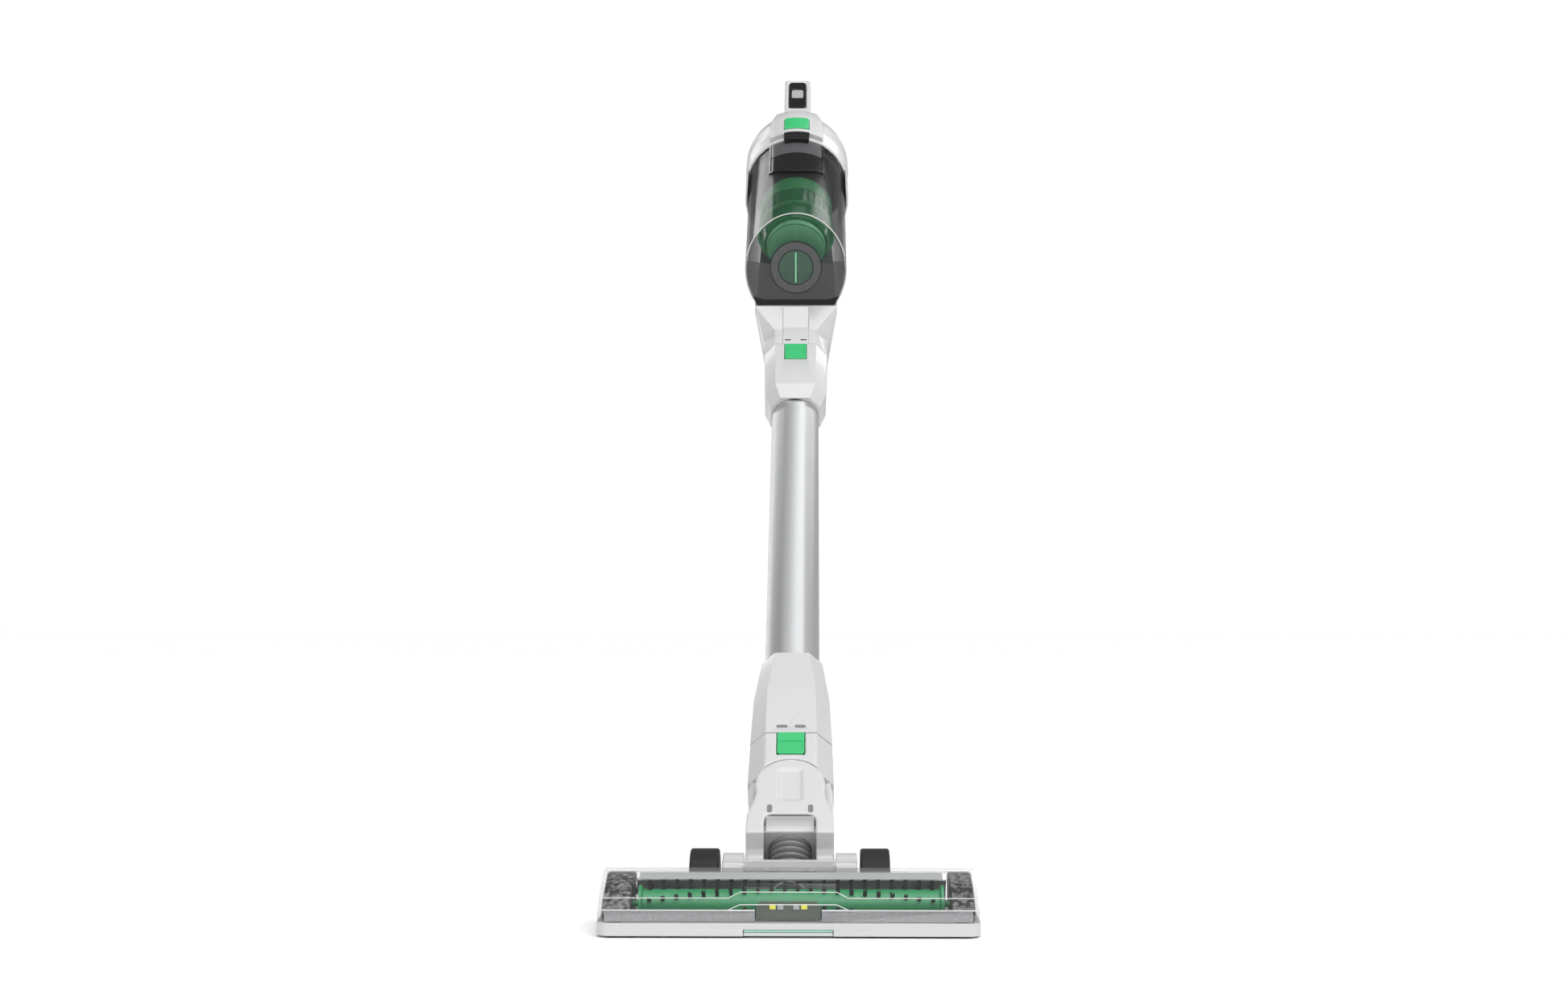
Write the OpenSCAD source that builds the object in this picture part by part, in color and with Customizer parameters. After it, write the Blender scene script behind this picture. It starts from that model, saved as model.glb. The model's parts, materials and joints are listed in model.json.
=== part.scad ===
// Cordless stick vacuum: floor head, swivel neck, wand and handset with its dust bin.
// The origin is on the floor under the sole, +Y runs back towards the user and +Z is up.
// The wand's own frame has its origin on the pitch axis, +Z along the wand and -Y at its front.

/* [Floor head] */
// Width of the floor head
head_w = 248; // [244:1:256]
// Radius of the brush roll's bristle tips
brush_r = 16; // [15.5:0.1:16.2]
// Radius of the two rear wheels
wheel_r = 23.2; // [22.5:0.1:24]
// Width of each rear wheel
wheel_w = 20; // [16:1:21]

/* [Wand] */
// How far the wand leans back from upright, in degrees
recline = 49; // [47:1:51]
// Outer radius of the metal tube
tube_r = 20.9; // [20.5:0.1:21]
// Wall thickness of the metal tube
tube_wall = 1.2; // [1:0.1:1.6]

/* [Dust bin] */
// Outer radius of the dust bin
bin_r = 47.5; // [46:0.5:48]
// Wall thickness of the dust bin
bin_wall = 2.2; // [1.8:0.1:2.4]

/* [Handset] */
// Outer radius of the motor housing
housing_r = 51.5; // [51:0.5:53]
// Width of the handle across the fingers
handle_w = 27; // [25:0.5:30]

/* [Hidden] */
$fn = 96;
gap = 0.3;
run_fit = 0.05;
eps = 0.01;

// Floor head, with y counted from the sole's middle
front_y = -75;
pitch_y = 19;
pitch_z = 28;
half_w = head_w / 2;
roll_y = front_y + 39;
roll_z = 16.9;
core_r = 12;
roll_x0 = -99;
roll_x1 = 102;
mouth_y0 = front_y + 19.5;
mouth_y1 = front_y + 58.1;
sole_z = 1.4;
bumper_z = 9.7;
bay_r = 16.9;
cover_t = 2;
duct_r = 13.6;
duct_z = 16.5;
duct_elbow = pitch_y + 2.75;
pulley_x = -110;
roll_pulley_r = 9;
motor_pulley_r = 4.5;
motor_y = front_y + 61.2;
motor_z = 25;
motor_r = 5.4;
head_rear = front_y + 70.5;
wheel_y = pitch_y + 1.2;
wheel_x = 48.4;
arm_x = 31.5;
arm_w = 14.5;
pin_x = 36;
roller_r = 5;
roller_x = 112;
roller_y = front_y + 10;

// Neck and swivel joint, along the wand
pivot_u = 61.7;
disc_r = 24.8;
knuckle_r = 30.3;
knuckle_v = 14.2;
neck_front = 25.8;
neck_back = 24;
neck_plate = 8;
ring_u = 23.5;
pin_r = 4;
hose_r = 15.2;
hose_bend = 43;
hose_low = 75;

// Wand and its two collars
low_seam = 113.8;
low_rim = 203;
tube_u0 = 141;
tube_u1 = 580;
up_rim = 543;
up_seam = 626;
bore_r = tube_r + 0.08;
spigot_r = 16.6;
duct_bore = 13.5;

// Handset, along the wand
bin_v = 68;
bin_flat = 38;
bin_u0 = 671.5;
bin_u1 = 852;
bin_slope = atan(38.5 / 77.5);
deck_v = bin_flat - 0.5;
house_u0 = 853;
house_u1 = 934;
arm_top = 98;
grip_t = 29;
dock_u = 940;
disp_u0 = 958;
disp_u1 = 1015;
impeller_u = 868;
cyclone_v = bin_v + 8;
cyclone_r = 34;

white = [0.93, 0.93, 0.93];
green = [0.18, 0.78, 0.45];
dark = [0.16, 0.16, 0.17];
smoke = [0.45, 0.45, 0.46, 0.6];
steel = [0.72, 0.73, 0.75];

// ---- helpers ----

// Puts things drawn in the wand's frame into the reclined wand
module on_wand() {
    translate([0, pitch_y, pitch_z]) rotate([-recline, 0, 0]) children();
}

// A cylinder along X from x0 to x1
module x_rod(x0, x1, r, y = 0, z = 0) {
    translate([x0, y, z]) rotate([0, 90, 0]) cylinder(r = r, h = x1 - x0);
}

// A cylinder in the wand's frame that runs forward from depth v0 to v1
module v_rod(v0, v1, r, u = 0, x = 0) {
    translate([x, -v0, u]) rotate([90, 0, 0]) cylinder(r = r, h = v1 - v0);
}

// A cylinder along the wand from u0 to u1
module u_rod(u0, u1, r, v = 0) {
    translate([0, -v, u0]) cylinder(r = r, h = u1 - u0);
}

// A block in the wand's frame, given by half its width and its two depths and heights
module slab(half, v0, v1, u0, u1) {
    translate([-half, -v1, u0]) cube([2 * half, v1 - v0, u1 - u0]);
}

// A side outline in [front depth, height] extruded across the wand
module side_cut(half) {
    rotate([90, 0, -90]) translate([0, 0, -half]) linear_extrude(2 * half) children();
}

// A front outline in [x, height] extruded between two depths
module face_cut(v0, v1) {
    translate([0, -v0, 0]) rotate([90, 0, 0]) linear_extrude(v1 - v0) children();
}

// A rectangle with round corners
module round_rect(w, h, r) {
    square([w - 2 * r, h], center = true);
    square([w, h - 2 * r], center = true);
    for (x = [-1, 1], y = [-1, 1])
        translate([x * (w / 2 - r), y * (h / 2 - r)]) circle(r);
}

// The eight-sided section of the collars: flat front, chamfers, full sides
function collar_section(w, front, back, facet) = [
    [-facet / 2, -front], [facet / 2, -front], [w / 2, -front * 0.5], [w / 2, back * 0.45],
    [facet / 2, back], [-facet / 2, back], [-w / 2, back * 0.45], [-w / 2, -front * 0.5]];

module collar_slice(u, w, front, back, facet) {
    translate([0, 0, u]) linear_extrude(0.1) polygon(collar_section(w, front, back, facet));
}

// ---- floor head ----

// Side outline of the clear cover's outside, with y from the front edge
function cover_line(d) = [
    [1.5 + d, bumper_z + 0.1], [4 + d, 17.5], [11 + d * 0.9, 24.2 - d * 0.4],
    [30 + d * 0.4, 33.5 - d], [47, 38.5 - d], [62 - d * 0.2, 37.6 - d], [70.5 - d, 35 - d],
    [70.5 - d, bumper_z + 0.1]];

module head_slab(x0, x1) {
    translate([x0, front_y, 0]) rotate([90, 0, 90]) linear_extrude(x1 - x0) children();
}

module plan_outline(inset) {
    depth = head_rear - front_y;
    translate([0, front_y + depth / 2])
        round_rect(head_w - 2 * inset, depth - 2 * inset, 9 - inset);
}

module head_base() {
    color(white) difference() {
        translate([0, 0, sole_z]) linear_extrude(bumper_z - sole_z) plan_outline(0);
        translate([roll_x0 - 3, mouth_y0, 0]) cube([roll_x1 - roll_x0 + 6, 38.6, 30]);
        translate([-29, front_y - 1, 0]) cube([58, 6, 5.6]);
        for (s = [-1, 1])
            translate([s * roller_x - 5, roller_y - 6.2, 0]) cube([10, 12.4, 30]);
        end_box_hollow();
        translate([0, head_rear + 1, duct_z]) rotate([90, 0, 0]) cylinder(r = duct_r + gap, h = 30);
    }
}

module head_cover() {
    color([0.8, 0.83, 0.82, 0.4]) difference() {
        union() {
            head_slab(-half_w + 1, half_w - 1) polygon(cover_line(0));
            head_slab(-31, 31)
                polygon([[1.5, bumper_z + 0.1], [4.2, 21], [12, 28], [24, 32], [30, 20]]);
        }
        head_slab(-half_w + 3, half_w - 3) polygon(cover_line(cover_t));
        head_slab(-29, 29)
            polygon([[3.5, bumper_z], [6, 20.2], [12.8, 26.2], [24, 30], [30, 9]]);
        translate([0, head_rear + 1, duct_z]) rotate([90, 0, 0]) cylinder(r = duct_r + gap, h = 6);
    }
}

module sole_plate() {
    color(dark) difference() {
        translate([0, 0, 0.4]) linear_extrude(sole_z - 0.45) plan_outline(5);
        translate([roll_x0 - 1, mouth_y0 + 1, -1]) cube([roll_x1 - roll_x0 + 2, 37, 5]);
        translate([-31, front_y, -1]) cube([62, 12, 5]);
        for (s = [-1, 1])
            translate([s * roller_x - 6, roller_y - 8, -1]) cube([12, 15, 5]);
        translate([-110, -4.2, -1]) cube([220, 8.4, 5]);
    }
}

module glide_strip() {
    color(dark) translate([-109.8, -4, 0]) cube([219.6, 8, sole_z - 0.05]);
}

module intake_lens() {
    color([0.3, 0.75, 0.5, 0.7]) translate([-28.6, front_y + 0.4, 3.9]) cube([57.2, 3, 1.6]);
}

module felt_strip() {
    color(dark)
        translate([roll_x0 + 2, mouth_y0 + 0.1, 1.5])
            cube([roll_x1 - roll_x0 - 4, 2, 12]);
}

module end_box(x0, x1) {
    head_slab(x0, x1)
        polygon([[7, bumper_z + 0.6], [8, 17], [14, 22.5], [31, 30.5], [47, 35.8], [61, 34.9],
            [68.3, 32.4], [68.3, bumper_z + 0.6]]);
}

module belt_housing() {
    color(dark) difference() {
        end_box(-120.5, roll_x0 - 4);
        end_box_hollow();
        x_rod(-108, -90, 5.05, roll_y, roll_z);
        x_rod(-106, -90, 2.1, motor_y, motor_z);
    }
}

// Room for the belt and its two pulleys inside the belt housing
module end_box_hollow() {
    translate([-118.5, roll_y, roll_z]) rotate([90, 0, 90]) linear_extrude(13) belt_loop(1.9);
}

module bearing_housing() {
    color(dark) difference() {
        end_box(roll_x1 + 4, 120.5);
        x_rod(roll_x1, roll_x1 + 10, 5.05, roll_y, roll_z);
    }
}

module roller_bay() {
    color([0.3, 0.31, 0.31]) translate([roll_x0 - 2.5, roll_y, roll_z]) rotate([90, 0, 90])
        difference() {
            linear_extrude(roll_x1 - roll_x0 + 5) difference() {
                circle(bay_r + 0.9);
                circle(bay_r);
                translate([-40, -20]) square([40, 60]);
                translate([-1, -40]) square([60, 33]);
                rotate(55) square([40, 40]);
            }
            translate([0, duct_z - roll_z, -roll_x0 + 2.5]) rotate([0, 90, 0])
                cylinder(r = duct_r + 0.1, h = 40);
        }
}

// Pipe of radius r from y = start to the elbow, closed by a round end
module duct_pipe(r, start) {
    run = duct_elbow - start;
    translate([0, start, duct_z]) rotate([-90, 0, 0]) rotate_extrude() intersection() {
        union() {
            square([r, run]);
            translate([0, run]) circle(r);
        }
        square([r + 1, run + r + 1]);
    }
}

// A cylinder about the hose's lower end, from z0 upwards
module duct_mouth(r, z0, h = 30) {
    translate([0, duct_elbow, duct_z]) rotate([hose_low - 90, 0, 0])
        translate([0, 0, z0]) cylinder(r = r, h = h);
}

module suction_duct() {
    color(steel) difference() {
        union() {
            duct_pipe(duct_r, roll_y + 17);
            duct_mouth(duct_r - 0.2, 0, 5.3);
        }
        difference() {
            duct_pipe(duct_r - 1.6, roll_y + 10);
            duct_mouth(hose_r + 2.2, 3.7);
        }
        duct_mouth(duct_r - 2.1, 0);
        duct_mouth(hose_r + 0.6, 5.3);
    }
}

module roll_core() {
    color([0.2, 0.6, 0.38]) difference() {
        union() {
            x_rod(roll_x0, roll_x1, core_r, roll_y, roll_z);
            x_rod(roll_x0 - 18.5, roll_x1 + 8, 2.4, roll_y, roll_z);
            x_rod(pulley_x - 4, pulley_x + 4, roll_pulley_r, roll_y, roll_z);
        }
        x_rod(roll_x0 + 3, roll_x1 - 3, core_r - 2.5, roll_y, roll_z);
    }
}

// Six rows of bristles on each half, in chevrons that meet at the roll's middle
module roll_bristles() {
    mid = (roll_x0 + roll_x1) / 2;
    color(dark) for (side = [-1, 1], row = [0:5])
        translate([mid + side * 1.5, roll_y, roll_z])
            rotate([0, side * 90, 0]) rotate([0, 0, row * 60 - side * 2])
                linear_extrude(height = 97, twist = side * -52, slices = 6, $fn = 6)
                    translate([core_r + 0.05, -1]) square([brush_r - core_r - 0.05, 2]);
}

module roll_bearings() {
    color(steel) for (x = [roll_x0 - 4 - 2.4, roll_x1 + 4])
        difference() {
            x_rod(x, x + 2.4, 5, roll_y, roll_z);
            x_rod(x - 1, x + 6, 2.4 + run_fit, roll_y, roll_z);
        }
}

module brush_motor() {
    color(steel) {
        x_rod(-102.9, -42, motor_r, motor_y, motor_z);
        x_rod(-106, -102.9, 2, motor_y, motor_z);
    }
}

module motor_pulley() {
    color(dark) x_rod(pulley_x - 4, pulley_x + 4, motor_pulley_r, motor_y, motor_z);
}

// Toothed belt, drawn as its outer loop less its inner loop
module drive_belt() {
    color([0.08, 0.08, 0.08]) translate([pulley_x - 3, roll_y, roll_z]) rotate([90, 0, 90])
        linear_extrude(6) difference() {
            belt_loop(1.4);
            belt_loop(0.1);
        }
}

// Outline around both pulleys, grown by some clearance
module belt_loop(grow) {
    span = motor_y - roll_y;
    rise = motor_z - roll_z;
    lean = asin((roll_pulley_r - motor_pulley_r) / norm([span, rise]));
    tilt = atan2(rise, span);
    circle(roll_pulley_r + grow);
    translate([span, rise]) circle(motor_pulley_r + grow);
    polygon([for (s = [1, -1], end = [0, 1])
        let (k = s > 0 ? end : 1 - end, a = tilt + s * (90 - lean))
        [k * span, k * rise] + (k == 0 ? roll_pulley_r + grow : motor_pulley_r + grow)
            * [cos(a), sin(a)]]);
}

module light_board() {
    color([0.3, 0.34, 0.3]) translate([0, front_y + 8.6, 10.4]) rotate([78, 0, 0])
        linear_extrude(1.2)
            polygon([[-21, 0], [21, 0], [21, 8.5], [18, 12], [-18, 12], [-21, 8.5]]);
}

module head_leds() {
    color([0.85, 0.85, 0.35]) for (x = [-10.2, 10.2])
        translate([x, front_y + 8.6, 10.4]) rotate([78, 0, 0])
            translate([-2, 6.8, 1.25]) cube([4, 3.4, 0.9]);
}

// Cross bar, the two hinge ears and the rear floor that carries the wheels
module hinge_frame() {
    color(white) difference() {
        union() {
            translate([-arm_x - arm_w, front_y + 76.4, 33.6])
                cube([2 * (arm_x + arm_w), 5.4, 7]);
            translate([-arm_x - arm_w, head_rear + 0.05, sole_z])
                cube([2 * (arm_x + arm_w), 11, 1.2]);
            for (s = [-1, 1])
                translate([s > 0 ? arm_x : -arm_x - arm_w, 0, 0]) {
                    x_rod(0, arm_w, 15.5, pitch_y, pitch_z);
                    translate([0, head_rear + 0.05, sole_z]) cube([arm_w, 12, 36]);
                    translate([0, head_rear + 6, sole_z + 4]) cube([arm_w, 24, 14]);
                }
        }
        for (s = [-1, 1])
            x_rod(s > 0 ? arm_x - 1 : -pin_x, s > 0 ? pin_x : -arm_x + 1, pin_r, pitch_y, pitch_z);
        for (s = [-1, 1])
            x_rod(s > 0 ? pin_x + 0.4 : -90, s > 0 ? 90 : -pin_x - 0.4, 2.5, wheel_y, wheel_r);
    }
}

module hinge_pins() {
    color(steel) for (s = [-1, 1])
        x_rod(s > 0 ? 26.1 : -pin_x, s > 0 ? pin_x : -26.1, pin_r, pitch_y, pitch_z);
}

module wheel_axles() {
    color(steel) for (s = [-1, 1])
        x_rod(s > 0 ? pin_x + 0.4 : -70, s > 0 ? 70 : -pin_x - 0.4, 2.5, wheel_y, wheel_r);
}

module rear_wheel(side) {
    x0 = side > 0 ? wheel_x : -wheel_x - wheel_w;
    color([0.19, 0.19, 0.19]) difference() {
        x_rod(x0, x0 + wheel_w, wheel_r, wheel_y, wheel_r);
        x_rod(x0 - 1, x0 + wheel_w + 1, 2.5 + run_fit, wheel_y, wheel_r);
        x_rod(side > 0 ? x0 + wheel_w - 3 : x0 - 1, side > 0 ? x0 + wheel_w + 1 : x0 + 3,
            wheel_r - 6, wheel_y, wheel_r);
    }
}

module front_roller(side) {
    color([0.19, 0.19, 0.19])
        x_rod(side * roller_x - 3.5, side * roller_x + 3.5, roller_r, roller_y, roller_r);
}

// ---- neck and swivel ----

// Front outline of the neck: a disc on the swivel, a waist and a wide foot
module neck_outline() {
    translate([0, pivot_u]) circle(disc_r);
    polygon([[-23.6, pivot_u - 5], [23.6, pivot_u - 5], [25.6, 46], [30.2, 33], [30.5, 24],
        [30.5, -12], [-30.5, -12], [-30.5, 24], [-30.2, 33], [-25.6, 46]]);
}

// Side outline of the neck: round about the pitch axis, then full depth
module neck_profile(front, back) {
    circle(11.8);
    polygon([[-back, 90], [-back, 26], [-11.8, 4], [-8, -4], [8, -4], [10, 8.5], [13.8, 12], [front, 16.5],
        [front, 90]]);
}

// Hollow between the neck's plates, with round room for the swivel knuckle
module neck_hollow() {
    slab(18, -neck_back + 5, neck_front - neck_plate, -13, 90);
    slab(26, -neck_back + 5, neck_front - neck_plate, 46, 90);
    v_rod(-neck_back + 5, neck_front - neck_plate, knuckle_r + 0.6, pivot_u);
}

module neck_shape() {
    difference() {
        intersection() {
            face_cut(-30, 30) neck_outline();
            side_cut(40) neck_profile(neck_front, neck_back);
        }
        neck_hollow();
        translate([-31, 0, 0]) rotate([0, 90, 0]) cylinder(r = pin_r + run_fit, h = 62);
    }
}

module neck_front_shell() {
    color(white) on_wand() difference() {
        intersection() {
            neck_shape();
            slab(40, 0.02, 40, -20, 100);
        }
        face_cut(neck_front - neck_plate - 1, 40) translate([0, 8]) round_rect(35.6, 51, 5.5);
        face_cut(neck_front - 1, 40) translate([0, pivot_u]) round_rect(17, 30, 1.5);
        v_rod(neck_front - neck_plate - 1, neck_front - 3, 5, pivot_u);
        translate([-31, 0, 0]) rotate([0, 90, 0]) cylinder(r = pin_r + run_fit, h = 62);
    }
}

module neck_back_shell() {
    color(white) on_wand() difference() {
        intersection() {
            neck_shape();
            slab(40, -40, -0.02, -20, 100);
        }
        v_rod(-neck_back + 2, -neck_back + 8, 5, pivot_u);
        face_cut(-40, -neck_back + 6) translate([0, -6]) round_rect(37, 44, 5.5);
    }
}

module neck_ring() {
    color(white) on_wand() difference() {
        slab(17.9, -neck_back + 5.1, neck_front - neck_plate - 0.1, ring_u, ring_u + 6.5);
        u_rod(ring_u - 1, ring_u + 10, hose_r - 1.2);
    }
}

// The flexible hose bends from the duct's steep mouth to the wand's direction
module hose() {
    color([0.2, 0.2, 0.2]) on_wand()
        translate([0, 0, ring_u - gap]) rotate([0, 0, -90]) translate([-hose_bend, 0, 0])
            rotate([90, 0, 0]) rotate([0, 0, -(hose_low - 90 + recline)])
                rotate_extrude(angle = hose_low - 90 + recline) translate([hose_bend, 0])
                    difference() {
                        circle(hose_r);
                        circle(hose_r - 2.4);
                    }
}

module swivel_pins() {
    color(steel) on_wand() {
        v_rod(knuckle_v - 4, neck_front - 3.1, 5 - run_fit, pivot_u);
        v_rod(-neck_back + 2.1, -knuckle_v + 4, 5 - run_fit, pivot_u);
    }
}

module swivel_socket() {
    color(white) on_wand() difference() {
        union() {
            hull() {
                collar_slice(74, 62, neck_front, 24, 37);
                collar_slice(low_seam - 0.4, 60, neck_front, 23, 37);
            }
            v_rod(-knuckle_v, knuckle_v, knuckle_r, pivot_u);
            u_rod(low_seam - 1, low_seam + 24, spigot_r);
        }
        v_rod(knuckle_v, 40, disc_r + 0.5, pivot_u);
        v_rod(-40, -knuckle_v, disc_r + 0.5, pivot_u);
        slab(40, knuckle_v, 40, 30, 74);
        slab(40, -40, -knuckle_v, 30, 74);
        u_rod(20, low_seam + 30, duct_bore);
        v_rod(-30, 30, 5, pivot_u);
        slab(10.3, 16.5, 40, 91.4, low_seam + 1);
    }
}

// A push button with a shallow finger dish, drawn about its own centre
module push_button(w, h, t, dish_w, dish_h) {
    difference() {
        linear_extrude(t) round_rect(w, h, 2);
        translate([0, -h * 0.12, t - 0.6]) linear_extrude(2) round_rect(dish_w, dish_h, 1.2);
    }
}

module face_button(u, v, w, h, t, dish_w, dish_h) {
    translate([0, -v + t, u]) rotate([90, 0, 0]) push_button(w, h, t, dish_w, dish_h);
}

module head_release_button() {
    color(green) on_wand() face_button(102.5, neck_front + 0.6, 19.6, 21.6, 5.4, 16.5, 9.5);
}

// ---- wand ----

module lower_collar() {
    color(white) on_wand() difference() {
        hull() {
            collar_slice(low_seam, 60, neck_front, 23, 37);
            collar_slice(160, 56.5, neck_front, 23, 36);
            collar_slice(low_rim, 46, 22.6, 22, 26);
        }
        u_rod(tube_u0, low_rim + 5, bore_r);
        u_rod(low_seam - 1, tube_u0 + 1, spigot_r + 0.15);
        for (s = [-1, 1]) translate([s * 7, 0, 0]) slab(3.6, 17.5, 30, 119, 121);
    }
}

module tube() {
    color(steel) on_wand() translate([0, 0, tube_u0 + 1.1])
        linear_extrude(tube_u1 - tube_u0 - 1.1) difference() {
            intersection() {
                circle(tube_r);
                translate([-30, -tube_r + 1.4]) square([60, 60]);
            }
            intersection() {
                circle(tube_r - tube_wall);
                translate([-30, -tube_r + 1.4 + tube_wall]) square([60, 60]);
            }
        }
}

module upper_collar() {
    color(white) on_wand() difference() {
        union() {
            hull() {
                collar_slice(up_rim, 44.5, 22, 22, 26);
                collar_slice(up_rim + 18, 55, 25, 23, 36);
                collar_slice(up_seam - 0.5, 58, 25, 24, 38);
            }
            u_rod(up_seam - 1, up_seam + 24, spigot_r);
        }
        u_rod(up_rim - 5, tube_u1 + 1, bore_r);
        u_rod(tube_u1, up_seam + 30, duct_bore);
        slab(10.4, 17, 40, up_seam - 25.6, up_seam + 1);
        for (s = [-1, 1])
            translate([s * 5, spigot_r + 2.6, up_seam - 6]) cylinder(r = 1.2, h = 7);
    }
}

module wand_release_button() {
    color(green) on_wand()
        face_button(up_seam - 12.8, 25.6, 19.9, 24.4, 5.4, 16.5, 13);
}

module contact_pins() {
    color([0.8, 0.7, 0.4]) on_wand() for (s = [-1, 1])
        translate([s * 5, spigot_r + 2.6, up_seam - 6]) cylinder(r = 1.2, h = 12);
}

// ---- handset ----

module duct_shell() {
    color(white) on_wand() difference() {
        union() {
            hull() {
                collar_slice(up_seam, 58, 25, 24, 38);
                collar_slice(652, 60, 26.6, 25, 40);
            }
            hull() {
                collar_slice(648, 60, 26.4, 25, 40);
                translate([0, 0, 671]) linear_extrude(0.1)
                    polygon([[-38.5, -deck_v], [38.5, -deck_v], [38.5, -30], [29, 18],
                        [20, 26], [-20, 26], [-29, 18], [-38.5, -30]]);
            }
            hull() {
                translate([0, 0, 671]) linear_extrude(0.1)
                    polygon([[-38.5, -deck_v], [38.5, -deck_v], [38.5, -30], [29, 18],
                        [20, 26], [-20, 26], [-29, 18], [-38.5, -30]]);
                translate([0, 0, house_u0 - 0.2]) linear_extrude(0.1)
                    polygon([[-32, -deck_v], [32, -deck_v], [32, -20], [28, 18], [20, 26],
                        [-20, 26], [-28, 18], [-32, -20]]);
            }
        }
        u_rod(up_seam - 1, 700, spigot_r + 0.15);
        v_rod(0, deck_v + 1, 14, 715);
        u_rod(699, 715, 14);
        slab(26, -22, 33.5, 735, house_u0 + 1);
        side_cut(12.3) polygon([[24, up_seam - 1], [40, up_seam - 1],
            [50, 671.2], [deck_v - 2, 671.2], [24.4, 650]]);
        for (s = [-1, 1])
            translate([s * 5, spigot_r + 2.6, up_seam - 1]) cylinder(r = 1.4, h = 9);
    }
}

// Inlaid strip that closes the wiring channel down the middle of the duct
module duct_cover() {
    color(white) on_wand() side_cut(12.1)
        polygon([[24.1, up_seam], [25, up_seam], [26.6, 651], [deck_v, 670.8],
            [deck_v - 1.7, 671], [24.6, 650.4]]);
}

// Turned outline of the motor housing, grown or shrunk by d
module housing_solid(d) {
    translate([0, -bin_v, 0]) rotate_extrude()
        polygon([[0, house_u0], [49.5 + d, house_u0], [housing_r + d, 873],
            [housing_r - 0.4 + d, 893], [housing_r - 4 + d, 908], [housing_r - 12 + d, 922],
            [30 + d, house_u1 + d], [0, house_u1 + d]]);
}

// Lower chin that joins the round housing to the duct under the bin
module chin_solid(d) {
    hull() {
        translate([0, 0, house_u0]) linear_extrude(0.1)
            polygon([[-32 - d, -60], [32 + d, -60], [32 + d, -20], [28 + d, 18],
                [20 + d, 26 + d], [-20 - d, 26 + d], [-28 - d, 18], [-32 - d, -20]]);
        translate([0, 0, 926.7]) linear_extrude(0.1)
            polygon([[-26 - d, -60], [26 + d, -60], [26 + d, -12], [20 + d, 24 + d],
                [-20 - d, 24 + d], [-26 - d, -12]]);
    }
}

// Block over the battery that carries the foot of the handle
module battery_dock() {
    translate([0, 0, 926.6]) linear_extrude(dock_u - 926.6)
        polygon([[-29, -30], [29, -30], [29, 62], [22, 70], [-22, 70], [-29, 62]]);
}

module wing_band() {
    intersection() {
        translate([0, -bin_v, 815]) linear_extrude(house_u0 - 815 + eps) difference() {
            circle(housing_r - 0.6);
            circle(bin_r + 0.7);
            translate([-bin_r - 0.7, -60]) square([2 * bin_r + 1.4, 60]);
        }
        slab(60, bin_v - 26, bin_v + 30, 800, 900);
    }
}

module motor_housing() {
    color(white) on_wand() difference() {
        union() {
            housing_solid(0);
            chin_solid(0);
            battery_dock();
            wing_band();
        }
        translate([0, -bin_v, 0]) rotate_extrude()
            polygon([[0, house_u0 - 1], [46.8, house_u0 - 1], [48.8, 873], [48.4, 893],
                [44.8, 907], [37, 919.5], [28, 928], [0, 928]]);
        slab(23, -20, 40, house_u0 - 1, 921);
        slab(12.6, 100, 130, 866, 888.4);
        difference() {
            u_rod(900, 950, 24.2, bin_v);
            slab(14.6, bin_v + 0.5, 110, 928, 960);
        }
    }
}

// Raised saddle over the housing, ahead of the handle
module latch_plate() {
    color(white) on_wand() difference() {
        intersection() {
            translate([0, -bin_v, 0]) rotate_extrude()
                polygon([[40, 858], [housing_r + 2.6, 858], [housing_r + 2.4, 893],
                    [housing_r - 0.6, 910], [housing_r - 6, 920], [40, 926]]);
            face_cut(bin_v + 20, bin_v + 60)
                polygon([[-26, 858], [-12.6, 858], [-12.6, 860.9], [12.6, 860.9], [12.6, 858],
                    [26, 858], [26, 893], [20, 912], [13.4, 926], [-13.4, 926], [-20, 912],
                    [-26, 893]]);
        }
        housing_solid(0.02);
        slab(12.6, 100, 130, 866, 888.4);
    }
}

// Green push button with the dark hook that holds the bin's panel
module bin_release_button() {
    color(green) on_wand() {
        difference() {
            intersection() {
                slab(12.3, 108, 130, 866.3, 888.1);
                translate([0, -bin_v, 860]) cylinder(r = housing_r + 3.6, h = 60);
            }
            translate([0, -bin_v, 860]) cylinder(r = housing_r - 6.5, h = 60);
        }
    }
}

// Loop handle in side view, as [front depth, height]
function grip_path() = [[84, 925], [84, 1012], [-14, 1052], [-32, 1036], [-34, 950]];

// Point i of the loop, moved half of t to side s and mitred at the bends
function grip_edge(t, s, i) =
    let (p = grip_path(),
        back = i > 0 ? (p[i] - p[i - 1]) / norm(p[i] - p[i - 1]) : (p[1] - p[0]) / norm(p[1] - p[0]),
        on = i < 4 ? (p[i + 1] - p[i]) / norm(p[i + 1] - p[i]) : back,
        n1 = [-back[1], back[0]],
        n2 = [-on[1], on[0]])
    p[i] + s * t / 2 * (n1 + n2) / (1 + n1 * n2);

module handle_outline(t) {
    polygon(concat([for (i = [0:4]) grip_edge(t, 1, i)], [for (i = [4:-1:0]) grip_edge(t, -1, i)]));
}

module handle_shell() {
    color(white) on_wand() difference() {
        side_cut(handle_w / 2) {
            handle_outline(grip_t - 1);
            polygon([[70.5, 918], [arm_top + 3.6, 918], [arm_top, 948], [70.5, 948]]);
            polygon([[-56, 938], [-16, 938], [-20, 965], [-48, 965]]);
        }
        housing_solid(0.02);
        latch_room();
        slab(8.6, arm_top - 14, arm_top + 5, disp_u0 + 1, disp_u1 - 4);
        slab(8.9, arm_top - 1.6, arm_top + 5, disp_u0 - 0.2, disp_u1 + 0.2);
        slab(35, -80, 30, 900, dock_u + 0.02);
    }
}

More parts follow.
